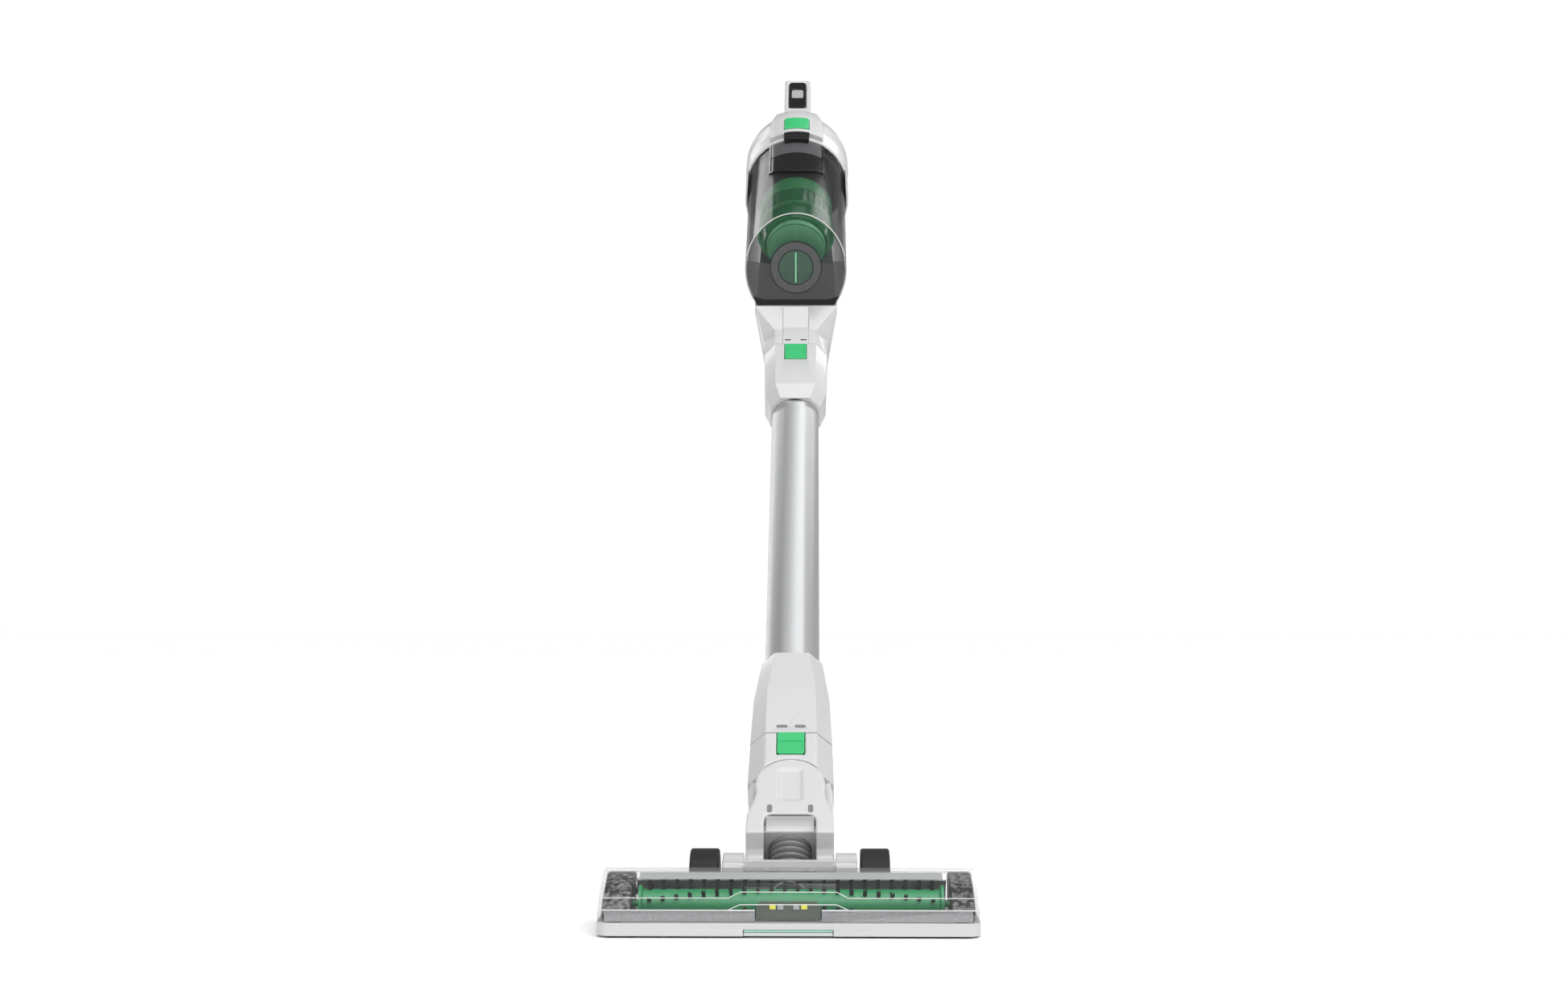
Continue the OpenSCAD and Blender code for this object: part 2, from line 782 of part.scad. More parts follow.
// Keeps the handle's root clear of the saddle in front of it
module latch_room() {
    translate([0, -bin_v, 0]) rotate_extrude()
        polygon([[0, 860], [housing_r + 3, 860], [housing_r + 3, 910], [housing_r - 6, 926.1],
            [0, 926.1]]);
}

module display_panel() {
    color([0.05, 0.05, 0.06]) on_wand() difference() {
        face_cut(arm_top - 1.4, arm_top + 0.6) translate([0, (disp_u0 + disp_u1) / 2])
            round_rect(17.6, disp_u1 - disp_u0, 4);
        slab(6.5, arm_top - 3, arm_top + 3, 979.5, 998.9);
    }
}

module power_button() {
    color([0.6, 0.6, 0.6]) on_wand() face_cut(arm_top - 4, arm_top + 0.2)
        translate([0, 989.2]) round_rect(12.2, 18.6, 3);
}

module control_board() {
    color([0.1, 0.35, 0.2]) on_wand() slab(8.2, arm_top - 12, arm_top - 10.4, 960, 1009);
}

module suction_motor() {
    color(steel) on_wand() difference() {
        union() {
            u_rod(878, 914, 27, bin_v);
            u_rod(914, 921, 12, bin_v);
        }
        u_rod(870, 895, 3 + run_fit, bin_v);
    }
}

module impeller() {
    color([0.3, 0.3, 0.32]) on_wand() {
        u_rod(impeller_u - 8, impeller_u - 6, 26, bin_v);
        u_rod(impeller_u - 8, impeller_u + 24, 3, bin_v);
        for (i = [0:8]) translate([0, -bin_v, impeller_u - 6.2]) rotate([0, 0, i * 40])
            translate([2.5, -0.6, 0]) cube([23, 1.2, 6]);
    }
}

module motor_mount() {
    color(dark) on_wand() difference() {
        u_rod(880, 890, 46, bin_v);
        u_rod(879, 891, 27, bin_v);
        slab(13.4, 100, 130, 870, 893.4);
    }
}

module post_filter() {
    color([0.85, 0.85, 0.8]) on_wand() difference() {
        u_rod(914.5, 926, 24, bin_v);
        u_rod(910, 930, 12.3, bin_v);
    }
}

module exhaust_grille() {
    color(dark) on_wand() difference() {
        u_rod(928.2, house_u1 - 0.5, 24, bin_v);
        slab(14.8, bin_v + 0.3, 110, 920, 940);
        for (i = [-3:3]) slab(i * i > 4 ? 12 : 18, bin_v + i * 6 - 1.5, bin_v + i * 6 + 1.5,
            920, 940);
    }
}

module battery_case() {
    color(dark) on_wand() difference() {
        translate([0, 0, 848]) linear_extrude(78)
            polygon([[-29, 26.8], [29, 26.8], [29, 62], [22, 70], [-22, 70], [-29, 62]]);
        slab(25, -67, -29, 851, 921);
        slab(4.6, -80, -60, 904, 917);
    }
}

module battery_cells() {
    color([0.25, 0.45, 0.7]) on_wand() for (x = [-10, 10], v = [-38.7, -57.6])
        translate([x, -v, 853]) cylinder(r = 9.2, h = 65);
}

module battery_button() {
    color(green) on_wand() translate([0, 67.4, 910.5]) rotate([-90, 0, 0])
        linear_extrude(3.2) round_rect(8.6, 12.4, 1.5);
}

// ---- dust bin ----

// Bin section seen along the wand: a circle cut flat at its foot
module bin_section(d) {
    translate([0, -bin_v]) intersection() {
        circle(bin_r + d);
        translate([-60, -60]) square([120, 60 + bin_v - bin_flat + d]);
    }
}

// Everything ahead of the bin's slanted end, moved along the wand by d
module bin_front_cut(d) {
    translate([0, -bin_flat, bin_u0 + d]) rotate([bin_slope * -1, 0, 0])
        translate([-80, -130, -100]) cube([160, 200, 100]);
}

module bin_shell() {
    color(smoke) on_wand() difference() {
        translate([0, 0, 640]) linear_extrude(bin_u1 - 640) bin_section(0);
        translate([0, 0, 630]) linear_extrude(bin_u1 - 620) bin_section(-bin_wall);
        bin_front_cut(0);
        v_rod(30, 50, 12, 715);
    }
}

module bin_window() {
    color(smoke) on_wand() intersection() {
        translate([0, 0, 640]) linear_extrude(120) bin_section(-bin_wall - 0.05);
        translate([0, -bin_flat, bin_u0 + 0.8]) rotate([-bin_slope, 0, 0])
            translate([-80, -130, 0]) cube([160, 200, 2.6]);
    }
}

module bin_panel() {
    color(dark) on_wand() {
        intersection() {
            translate([0, -bin_v, 788]) linear_extrude(bin_u1 - 788 - 0.2) difference() {
                circle(bin_r + 1.9);
                circle(bin_r + 0.02);
            }
            slab(26, bin_v + 20, bin_v + 60, 780, 860);
        }
        slab(12.2, bin_v + bin_r + 0.5, bin_v + housing_r + 2.2, bin_u1 - 6, bin_u1 - 0.2);
        slab(12.2, bin_v + housing_r + 0.1, bin_v + housing_r + 2.2, bin_u1 - 0.3, 860.3);
    }
}

module cyclone_shroud() {
    color([0.1, 0.4, 0.2]) on_wand() difference() {
        union() {
            u_rod(738, 788, cyclone_r, cyclone_v);
            translate([0, -cyclone_v, 718]) cylinder(r1 = 30, r2 = cyclone_r, h = 20);
            u_rod(710, 718.01, 27.5, cyclone_v);
        }
        u_rod(741, 790, cyclone_r - 2.5, cyclone_v);
        translate([0, -cyclone_v, 720]) cylinder(r1 = 26, r2 = cyclone_r - 2.5, h = 21.01);
    }
}

module filter_frame() {
    color([0.08, 0.08, 0.08]) on_wand() difference() {
        union() {
            u_rod(788.2, 840.1, cyclone_r + 0.6, cyclone_v);
            translate([0, 0, 840]) linear_extrude(11) bin_section(-bin_wall - 0.1);
        }
        u_rod(792, 860, cyclone_r - 4, cyclone_v);
        u_rod(780, 800, cyclone_r - 10, cyclone_v);
    }
}

module pleated_filter() {
    n = 24;
    color([0.9, 0.9, 0.88]) on_wand() translate([0, -cyclone_v, 793])
        linear_extrude(54) difference() {
            polygon([for (i = [0:2 * n - 1]) (cyclone_r - (i % 2 == 0 ? 4.4 : 9))
                * [cos(i * 180 / n), sin(i * 180 / n)]]);
            circle(17);
        }
}

head_base();
head_cover();
sole_plate();
intake_lens();
felt_strip();
glide_strip();
belt_housing();
bearing_housing();
roller_bay();
suction_duct();
roll_core();
roll_bristles();
roll_bearings();
brush_motor();
motor_pulley();
drive_belt();
light_board();
head_leds();
hinge_frame();
hinge_pins();
wheel_axles();
rear_wheel(-1);  // left_wheel
rear_wheel(1);  // right_wheel
front_roller(-1);  // left_roller
front_roller(1);  // right_roller
neck_front_shell();
neck_back_shell();
neck_ring();
hose();
swivel_pins();
swivel_socket();
head_release_button();
lower_collar();
tube();
upper_collar();
wand_release_button();
contact_pins();
duct_shell();
duct_cover();
motor_housing();
latch_plate();
bin_release_button();
handle_shell();
display_panel();
power_button();
control_board();
suction_motor();
impeller();
motor_mount();
post_filter();
exhaust_grille();
battery_case();
battery_cells();
battery_button();
bin_shell();
bin_window();
bin_panel();
cyclone_shroud();
filter_frame();
pleated_filter();
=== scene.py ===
"""Looks of the cordless stick vacuum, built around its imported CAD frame.

Sizes here are millimetres. FLOOR turns them into metres in the row frame. WAND does the same for
the wand's own space, which starts on the pitch axis, with z along the wand and -y at its front.
"""

import json
import random
from math import asin, atan, copysign, cos, pi, radians, sin, sqrt, tan

import bmesh
import bpy
from mathutils import Matrix, Vector


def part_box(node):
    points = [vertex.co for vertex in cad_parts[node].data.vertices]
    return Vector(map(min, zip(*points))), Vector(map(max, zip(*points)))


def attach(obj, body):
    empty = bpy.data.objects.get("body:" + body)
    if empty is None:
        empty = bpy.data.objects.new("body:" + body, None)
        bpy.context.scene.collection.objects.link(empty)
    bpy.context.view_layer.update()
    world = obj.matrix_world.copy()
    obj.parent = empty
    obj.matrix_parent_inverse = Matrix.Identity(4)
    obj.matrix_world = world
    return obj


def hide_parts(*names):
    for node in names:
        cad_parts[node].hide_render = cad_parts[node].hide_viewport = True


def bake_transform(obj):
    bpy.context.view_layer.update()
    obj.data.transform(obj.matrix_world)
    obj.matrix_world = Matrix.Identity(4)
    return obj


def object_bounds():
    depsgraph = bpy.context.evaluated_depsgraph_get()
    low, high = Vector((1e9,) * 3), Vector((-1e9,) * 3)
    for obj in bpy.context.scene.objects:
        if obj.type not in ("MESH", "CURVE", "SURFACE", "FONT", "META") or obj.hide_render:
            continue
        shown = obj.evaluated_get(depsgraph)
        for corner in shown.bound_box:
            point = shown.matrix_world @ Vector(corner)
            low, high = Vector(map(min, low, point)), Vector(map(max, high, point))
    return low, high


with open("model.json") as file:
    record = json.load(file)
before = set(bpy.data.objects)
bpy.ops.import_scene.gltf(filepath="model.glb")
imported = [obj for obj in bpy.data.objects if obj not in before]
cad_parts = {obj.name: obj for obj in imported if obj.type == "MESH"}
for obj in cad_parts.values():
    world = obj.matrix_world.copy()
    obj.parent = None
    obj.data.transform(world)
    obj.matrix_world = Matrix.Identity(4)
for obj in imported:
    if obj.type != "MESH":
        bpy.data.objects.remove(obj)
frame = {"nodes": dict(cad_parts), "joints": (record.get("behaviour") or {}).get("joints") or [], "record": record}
cad_low, cad_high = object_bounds()

RECORD = frame["record"]
JOINTS = {j["name"]: j for j in frame["joints"]}
BODY_OF = {n: b for b, ns in RECORD["behaviour"]["bodies"].items() for n in ns}
SLOT_OF = {s["node"]: s["material_slot"] for s in RECORD["subparts"]}

MM = 0.001
RECLINE = asin(JOINTS["steer"]["axis"][2])
PITCH_AT = Vector(JOINTS["pitch"]["pos_m"])
FLOOR = Matrix.Scale(MM, 4)
WAND = Matrix.Translation(PITCH_AT) @ Matrix.Rotation(-RECLINE, 4, "X") @ FLOOR


# ---- camera and studio ----

CAMERA_AT = (0.0167, -1.380, 0.2083)
CAMERA_TILT, CAMERA_TURN = 93.4, 0.85
CAMERA_LENS, CAMERA_SENSOR = 46.25, 36.0


def make_camera():
    """The photograph's view: low, in front of the head and tilted slightly up."""
    data = bpy.data.cameras.new("photo_camera")
    data.lens = CAMERA_LENS
    data.sensor_width = CAMERA_SENSOR
    data.clip_end = 30.0
    camera = bpy.data.objects.new("photo_camera", data)
    camera.location = CAMERA_AT
    camera.rotation_euler = (radians(CAMERA_TILT), 0.0, radians(CAMERA_TURN))
    bpy.context.scene.collection.objects.link(camera)
    bpy.context.scene.camera = camera


def area_light(name, place, aim, size, power, color=(1, 1, 1)):
    data = bpy.data.lights.new(name, "AREA")
    data.shape = "RECTANGLE"
    data.size, data.size_y = size
    data.energy = power
    data.color = color
    light = bpy.data.objects.new(name, data)
    light.location = place
    light.rotation_euler = (Vector(aim) - Vector(place)).to_track_quat("-Z", "Y").to_euler()
    bpy.context.scene.collection.objects.link(light)


def make_world():
    """Plain white to the camera. Everything else gets a soft sky that is darker high at the back."""
    world = bpy.data.worlds.new("studio_world")
    bpy.context.scene.world = world
    world.use_nodes = True
    tree = world.node_tree
    backdrop = tree.nodes["Background"]
    backdrop.inputs["Color"].default_value = (1.0, 1.0, 1.0, 1.0)
    backdrop.inputs["Strength"].default_value = 1.02
    ambient = tree.nodes.new("ShaderNodeBackground")
    ambient.inputs["Color"].default_value = (1.0, 1.0, 1.0, 1.0)
    aloft = tree.nodes.new("ShaderNodeTexCoord")
    along = tree.nodes.new("ShaderNodeVectorMath")
    along.operation = "DOT_PRODUCT"
    along.inputs[1].default_value = (0.0, 0.43, 0.90)
    tree.links.new(aloft.outputs["Generated"], along.inputs[0])
    level = tree.nodes.new("ShaderNodeMapRange")
    level.inputs["From Min"].default_value = 0.25
    level.inputs["From Max"].default_value = 0.85
    level.inputs["To Min"].default_value = 0.70
    level.inputs["To Max"].default_value = 0.14
    tree.links.new(along.outputs["Value"], level.inputs["Value"])
    tree.links.new(level.outputs["Result"], ambient.inputs["Strength"])
    seen = tree.nodes.new("ShaderNodeLightPath")
    either = tree.nodes.new("ShaderNodeMixShader")
    tree.links.new(seen.outputs["Is Camera Ray"], either.inputs["Fac"])
    tree.links.new(ambient.outputs["Background"], either.inputs[1])
    tree.links.new(backdrop.outputs["Background"], either.inputs[2])
    tree.links.new(either.outputs["Shader"], tree.nodes["World Output"].inputs["Surface"])


def make_lights():
    """A wide soft sun from above, a strip on each side and a weak fill from the front."""
    middle = (cad_low + cad_high) / 2
    overhead = bpy.data.lights.new("overhead", "SUN")
    overhead.energy = 2.75
    overhead.angle = radians(70)
    lamp = bpy.data.objects.new("overhead", overhead)
    lamp.rotation_euler = Vector((-0.25, 0.5, -0.85)).to_track_quat("-Z", "Y").to_euler()
    bpy.context.scene.collection.objects.link(lamp)
    area_light("right_strip", middle + Vector((0.56, 0.66, 1.10)), middle, (0.16, 1.7), 4.5)
    area_light("left_strip", middle + Vector((-0.75, 1.1, 0.55)), middle, (0.25, 1.6), 4.5)
    area_light("front_fill", (-0.3, -1.7, 0.8), (0, 0, 0.05), (1.2, 0.8), 4)


def make_floor():
    bm = bmesh.new()
    bmesh.ops.create_grid(bm, x_segments=40, y_segments=40, size=25.0)
    mesh = bpy.data.meshes.new("studio_floor")
    bm.to_mesh(mesh)
    bm.free()
    floor = bpy.data.objects.new("studio_floor", mesh)
    bpy.context.scene.collection.objects.link(floor)
    mesh.materials.append(plastic("studio_paper", (0.97, 0.97, 0.97), 0.8, fleck=0.004, grain=300,
                                  relief=0.01, coat=0.0))


def make_studio():
    bpy.context.scene.view_settings.view_transform = "Standard"
    make_world()
    make_lights()
    make_floor()


# ---- materials ----

def node_tree(name):
    material = bpy.data.materials.new(name)
    material.use_nodes = True
    tree = material.node_tree
    return material, tree, tree.nodes["Principled BSDF"]


def noise(tree, scale, detail=3.0, stretch=(1, 1, 1)):
    """Noise in the piece's own space, in metres, so that it stays put when the piece moves."""
    place = tree.nodes.new("ShaderNodeTexCoord")
    squeeze = tree.nodes.new("ShaderNodeMapping")
    squeeze.inputs["Scale"].default_value = stretch
    squeeze.inputs["Rotation"].default_value = (RECLINE, 0, 0)
    texture = tree.nodes.new("ShaderNodeTexNoise")
    texture.inputs["Scale"].default_value = scale
    texture.inputs["Detail"].default_value = detail
    tree.links.new(place.outputs["Object"], squeeze.inputs["Vector"])
    tree.links.new(squeeze.outputs["Vector"], texture.inputs["Vector"])
    return texture.outputs["Fac"]


def spread(tree, value, low, high):
    """Maps the middle of a noise to the range low to high."""
    node = tree.nodes.new("ShaderNodeMapRange")
    node.inputs["From Min"].default_value = 0.3
    node.inputs["From Max"].default_value = 0.7
    node.inputs["To Min"].default_value = low
    node.inputs["To Max"].default_value = high
    tree.links.new(value, node.inputs["Value"])
    return node.outputs["Result"]


def tint(tree, factor, first, second):
    node = tree.nodes.new("ShaderNodeMix")
    node.data_type = "RGBA"
    node.inputs["A"].default_value = (*first, 1)
    node.inputs["B"].default_value = (*second, 1)
    tree.links.new(factor, node.inputs["Factor"])
    return node.outputs["Result"]


def bump(tree, shader, height, depth):
    node = tree.nodes.new("ShaderNodeBump")
    node.inputs["Strength"].default_value = depth
    node.inputs["Distance"].default_value = MM
    tree.links.new(height, node.inputs["Height"])
    tree.links.new(node.outputs["Normal"], shader.inputs["Normal"])


def plastic(name, color, rough, fleck=0.03, grain=700.0, relief=0.06, coat=0.2, metal=0.0,
            stretch=(1, 1, 1), shine=0.5):
    """Moulded plastic or plain metal: broad tone drift, fine grain in the gloss and the relief."""
    material, tree, shader = node_tree(name)
    broad = noise(tree, 14, 2)
    fine = noise(tree, grain, 4, stretch)
    dark = tuple(c * (1 - fleck) for c in color)
    light = tuple(min(1, c * (1 + fleck)) for c in color)
    tree.links.new(tint(tree, broad, dark, light), shader.inputs["Base Color"])
    tree.links.new(spread(tree, fine, rough * 0.85, rough * 1.15), shader.inputs["Roughness"])
    shader.inputs["Metallic"].default_value = metal
    shader.inputs["Specular IOR Level"].default_value = shine
    shader.inputs["Coat Weight"].default_value = coat
    shader.inputs["Coat Roughness"].default_value = 0.08
    bump(tree, shader, fine, relief)
    return material


def speckled(name, dark, light, grain, share):
    """Dark plastic behind a frosted skin: blurred black and grey specks, denser in patches."""
    material, tree, shader = node_tree(name)
    specks = noise(tree, grain, 6)
    patches = noise(tree, 45, 2)
    both = tree.nodes.new("ShaderNodeMath")
    both.operation = "MULTIPLY_ADD"
    both.use_clamp = True
    tree.links.new(spread(tree, patches, -0.35, 0.35), both.inputs[0])
    both.inputs[1].default_value = 1.0
    tree.links.new(spread(tree, specks, share - 0.9, share + 0.9), both.inputs[2])
    tree.links.new(tint(tree, both.outputs[0], dark, light), shader.inputs["Base Color"])
    shader.inputs["Roughness"].default_value = 0.5
    shader.inputs["Specular IOR Level"].default_value = 0.2
    bump(tree, shader, specks, 0.15)
    return material


def see_through(name, color, face, edge, rough=0.06, mottle=0.0, grain=260.0, start=0.0,
                coat=0.2):
    """Clear or smoked plastic: thin where it is seen face on, denser at grazing angles."""
    material, tree, shader = node_tree(name)
    fine = noise(tree, grain, 5)
    dark = tuple(c * 0.85 for c in color)
    tree.links.new(tint(tree, fine, dark, color), shader.inputs["Base Color"])
    tree.links.new(spread(tree, fine, rough * 0.7, rough * 1.3), shader.inputs["Roughness"])
    facing = tree.nodes.new("ShaderNodeLayerWeight")
    facing.inputs["Blend"].default_value = 0.35
    ramp = tree.nodes.new("ShaderNodeMapRange")
    ramp.inputs["From Min"].default_value = start
    ramp.inputs["To Min"].default_value = face
    ramp.inputs["To Max"].default_value = edge
    tree.links.new(facing.outputs["Facing"], ramp.inputs["Value"])
    cloud = tree.nodes.new("ShaderNodeMath")
    cloud.operation = "MULTIPLY_ADD"
    cloud.use_clamp = True
    tree.links.new(spread(tree, fine, -1, 1), cloud.inputs[0])
    cloud.inputs[1].default_value = mottle
    tree.links.new(ramp.outputs["Result"], cloud.inputs[2])
    tree.links.new(cloud.outputs[0], shader.inputs["Alpha"])
    shader.inputs["IOR"].default_value = 1.3
    shader.inputs["Coat Weight"].default_value = coat
    shader.inputs["Coat Roughness"].default_value = 0.03
    bump(tree, shader, fine, 0.03)
    return material


MATERIALS = {
    "white_shell": plastic("white_plastic", (0.485, 0.485, 0.49), 0.36, 0.015, 1200, 0.05, 0.25),
    "clear_cover": see_through("clear_polycarbonate", (0.42, 0.425, 0.43), 0.03, 0.62, 0.08, 0.02,
                               1400, 0.45, 0.3),
    "smoked_clear": see_through("smoked_polycarbonate", (0.036, 0.036, 0.038), 0.22, 0.85, 0.06, 0.0,
                                1400, 0.3),
    "green_button": plastic("accent_green", (0.018, 0.40, 0.125), 0.40, 0.04, 800, 0.06, 0.2),
    "green_clear": see_through("tinted_green", (0.010, 0.20, 0.065), 0.86, 1.0, 0.15, 0.05),
    "green_roll": plastic("roll_green", (0.022, 0.24, 0.088), 0.40, 0.08, 500, 0.08, 0.1),
    "bristle": plastic("bristle_nylon", (0.022, 0.022, 0.024), 0.55, 0.2, 2500, 0.2, 0.0, shine=0.2),
    "felt": plastic("felt_pile", (0.030, 0.030, 0.032), 0.95, 0.25, 2600, 0.8, 0.0),
    "dark_plastic": plastic("dark_plastic", (0.020, 0.020, 0.022), 0.48, 0.15, 1400, 0.25, 0.1, shine=0.2),
    "bin_trim": see_through("gloss_trim", (0.014, 0.014, 0.015), 0.92, 1.0, 0.08, 0.0, 1400),
    "rubber": plastic("soft_rubber", (0.012, 0.012, 0.012), 0.75, 0.2, 1800, 0.3, 0.0, shine=0.2),
    "wheel_black": plastic("wheel_tread", (0.016, 0.016, 0.017), 0.55, 0.15, 1500, 0.3, 0.05, shine=0.2),
    "hose_grey": plastic("hose_vinyl", (0.15, 0.152, 0.155), 0.34, 0.08, 900, 0.08, 0.15),
    "steel": plastic("turned_steel", (0.56, 0.57, 0.58), 0.30, 0.05, 700, 0.10, 0.0, 1.0, (12, 1, 1)),
    "duct_silver": plastic("silver_plastic", (0.42, 0.43, 0.43), 0.42, 0.05, 900, 0.1, 0.1, 0.2),
    "satin_tube": plastic("satin_aluminium", (0.50, 0.505, 0.51), 0.42, 0.02, 900, 0.05, 0.0, 0.85,
                          (1, 1, 0.02)),
    "brass_contact": plastic("plated_contact", (0.62, 0.44, 0.16), 0.28, 0.05, 900, 0.1, 0.0, 1.0),
    "board_green": plastic("solder_mask", (0.035, 0.050, 0.033), 0.40, 0.25, 450, 0.15, 0.2),
    "led_yellow": plastic("phosphor_lens", (0.62, 0.60, 0.06), 0.30, 0.1, 900, 0.05, 0.3),
    "display_black": plastic("piano_black", (0.006, 0.006, 0.007), 0.10, 0.2, 900, 0.01, 0.6, shine=0.2),
    "button_grey": plastic("satin_grey", (0.30, 0.30, 0.305), 0.45, 0.05, 1200, 0.1, 0.1),
    "filter_white": plastic("filter_paper", (0.66, 0.66, 0.60), 0.90, 0.08, 1600, 0.5, 0.0),
    "cell_blue": plastic("cell_sleeve", (0.02, 0.09, 0.30), 0.35, 0.05, 800, 0.05, 0.2),
    # Pale glossy grey for the bead on the bin's rim: a painted highlight.
    "face_rim_painted_highlight": plastic("rim_highlight", (0.50, 0.52, 0.51), 0.2, 0.05, 900, 0.03, 0.4),
    "cyclone_rib": plastic("cyclone_rib_green", (0.22, 0.62, 0.34), 0.3, 0.05, 900, 0.03, 0.2),
    "face_haze": see_through("face_haze", (0.075, 0.075, 0.077), 0.60, 0.85, 0.25, 0.0, 900),
    "face_disc": see_through("face_disc", (0.085, 0.086, 0.088), 0.82, 0.95, 0.25, 0.0, 900),
    "face_eye": see_through("face_eye", (0.070, 0.125, 0.092), 0.55, 0.8, 0.25, 0.0, 900),
    "panel_glass": see_through("panel_glass", (0.10, 0.10, 0.105), 0.75, 0.9, 0.15, 0.0, 900),
    "speckle": speckled("speckled_black", (0.014, 0.014, 0.015), (0.20, 0.20, 0.20), 300, 0.38),
    "front_lip": see_through("frosted_lip", (0.34, 0.34, 0.35), 0.72, 0.9, 0.5, 0.12, 900),
    # Pale glossy grey for the beads on the cover's front edge and creases: painted highlights on real edges.
    "cover_edge_painted_highlight": plastic("cover_edge_painted_highlight", (0.62, 0.63, 0.63), 0.15, 0.03, 900, 0.03, 0.4),
    "led_grey": plastic("led_grey", (0.30, 0.31, 0.31), 0.35, 0.08, 900, 0.05, 0.2),
    "cyclone_cap": plastic("cyclone_cap_green", (0.15, 0.50, 0.26), 0.3, 0.05, 900, 0.05, 0.4),
    "cyclone_band": plastic("cyclone_band_green", (0.02, 0.30, 0.09), 0.35, 0.15, 600, 0.2, 0.2),
    "lens_pale": plastic("lens_pale", (0.25, 0.46, 0.38), 0.3, 0.05, 900, 0.03, 0.2),
}


# ---- pieces ----

def add_piece(name, mesh, body, slot, stands_for=(), material=None):
    piece = bpy.data.objects.new(name, mesh)
    bpy.context.scene.collection.objects.link(piece)
    mesh.materials.clear()
    mesh.materials.append(material or MATERIALS[slot])
    if stands_for:
        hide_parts(*stands_for)
    if body:
        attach(piece, body)
    return piece


def mesh_from(name, verts, faces, space=FLOOR, sharp=35):
    bm = bmesh.new()
    made = [bm.verts.new(space @ Vector(v)) for v in verts]
    for face in faces:
        bm.faces.new([made[i] for i in face])
    bmesh.ops.recalc_face_normals(bm, faces=bm.faces)
    mesh = bpy.data.meshes.new(name)
    bm.to_mesh(mesh)
    bm.free()
    mesh.shade_smooth()
    mesh.set_sharp_from_angle(angle=radians(sharp))
    return mesh


def welded(node, flat=1.0):
    """A copy of a CAD node's mesh with its split corners joined and flat faces merged."""
    mesh = frame["nodes"][node].data.copy()
    bm = bmesh.new()
    bm.from_mesh(mesh)
    bmesh.ops.remove_doubles(bm, verts=bm.verts, dist=2e-6)
    bmesh.ops.dissolve_limit(bm, angle_limit=radians(flat), verts=bm.verts, edges=bm.edges)
    bm.to_mesh(mesh)
    bm.free()
    return mesh


# CAD nodes whose finish differs from their slot's.
NODE_FINISH = {"belt_housing": "speckle", "bearing_housing": "speckle", "intake_lens": "lens_pale"}


def softened(node, width, segments=2, angle=28, sharp=32):
    """The node with its hard edges rounded by a small bevel."""
    mesh = welded(node)
    mesh.shade_smooth()
    mesh.set_sharp_from_angle(angle=radians(sharp))
    piece = add_piece(node + "_soft", mesh, BODY_OF[node], NODE_FINISH.get(node, SLOT_OF[node]), [node])
    edge = piece.modifiers.new("edge_radius", "BEVEL")
    edge.width = width * MM
    edge.segments = segments
    edge.limit_method = "ANGLE"
    edge.angle_limit = radians(angle)
    edge.miter_outer = "MITER_ARC"
    edge.harden_normals = True
    return piece


def moulded(node, voxel, steps, slot=None):
    """The node recast as one moulding: remeshed finely, then relaxed so that edges get a radius."""
    mesh = welded(node)
    piece = add_piece(node + "_moulded", mesh, BODY_OF[node], slot or SLOT_OF[node], [node])
    cast = piece.modifiers.new("cast", "REMESH")
    cast.mode = "VOXEL"
    cast.voxel_size = voxel * MM
    cast.use_smooth_shade = True
    relax = piece.modifiers.new("relax", "SMOOTH")
    relax.factor = 0.5
    relax.iterations = steps
    return piece


def ring_faces(rings, count, close_ends=True, close_loop=False):
    """Faces for a stack of equal rings of points."""
    faces = []
    for r in range(rings if close_loop else rings - 1):
        a, b = r * count, (r + 1) % rings * count
        for i in range(count):
            j = (i + 1) % count
            faces.append((a + i, a + j, b + j, b + i))
    if close_ends and not close_loop:
        faces.append(tuple(range(count)))
        faces.append(tuple((rings - 1) * count + i for i in range(count)))
    return faces


# Edge radius of each bevelled node, then voxel size and smoothing steps of each moulded one.
SOFT_NODES = {
    "head_base": 0.9, "head_cover": 0.9, "sole_plate": 0.3, "intake_lens": 0.4, "felt_strip": 0.4,
    "glide_strip": 0.3, "belt_housing": 0.8, "bearing_housing": 0.8, "roller_bay": 0.2,
    "suction_duct": 0.3, "roll_bearings": 0.3, "brush_motor": 0.5, "motor_pulley": 0.4,
    "drive_belt": 0.3, "light_board": 0.2, "hinge_pins": 0.5, "wheel_axles": 0.5,
    "left_wheel": 1.6, "right_wheel": 1.6, "left_roller": 0.8, "right_roller": 0.8,
    "neck_ring": 0.5, "swivel_pins": 0.4, "head_release_button": 0.7, "tube": 0.5,
    "wand_release_button": 0.7, "contact_pins": 0.4, "duct_cover": 0.3, "latch_plate": 0.8,
    "bin_release_button": 2.4, "display_panel": 0.3, "power_button": 0.3, "control_board": 0.2,
    "suction_motor": 1.0, "impeller": 0.3, "motor_mount": 0.6, "post_filter": 0.8,
    "exhaust_grille": 0.4, "battery_case": 1.2, "battery_cells": 1.0, "battery_button": 0.5,
    "bin_shell": 0.9, "bin_window": 0.4, "filter_frame": 0.6,
    "pleated_filter": 0.2, "cyclone_shroud": 0.5, "head_leds": 0.2,
    "lower_collar": 1.2, "upper_collar": 1.2, "duct_shell": 1.2,
}

MOULDED_NODES = {
    "motor_housing": (1.1, 10), "handle_shell": (1.0, 16), "neck_front_shell": (0.8, 5),
    "neck_back_shell": (0.8, 5), "swivel_socket": (0.8, 4), "hinge_frame": (0.7, 4),
}

for node, width in SOFT_NODES.items():
    softened(node, width)
for node, (voxel, steps) in MOULDED_NODES.items():
    moulded(node, voxel, steps)


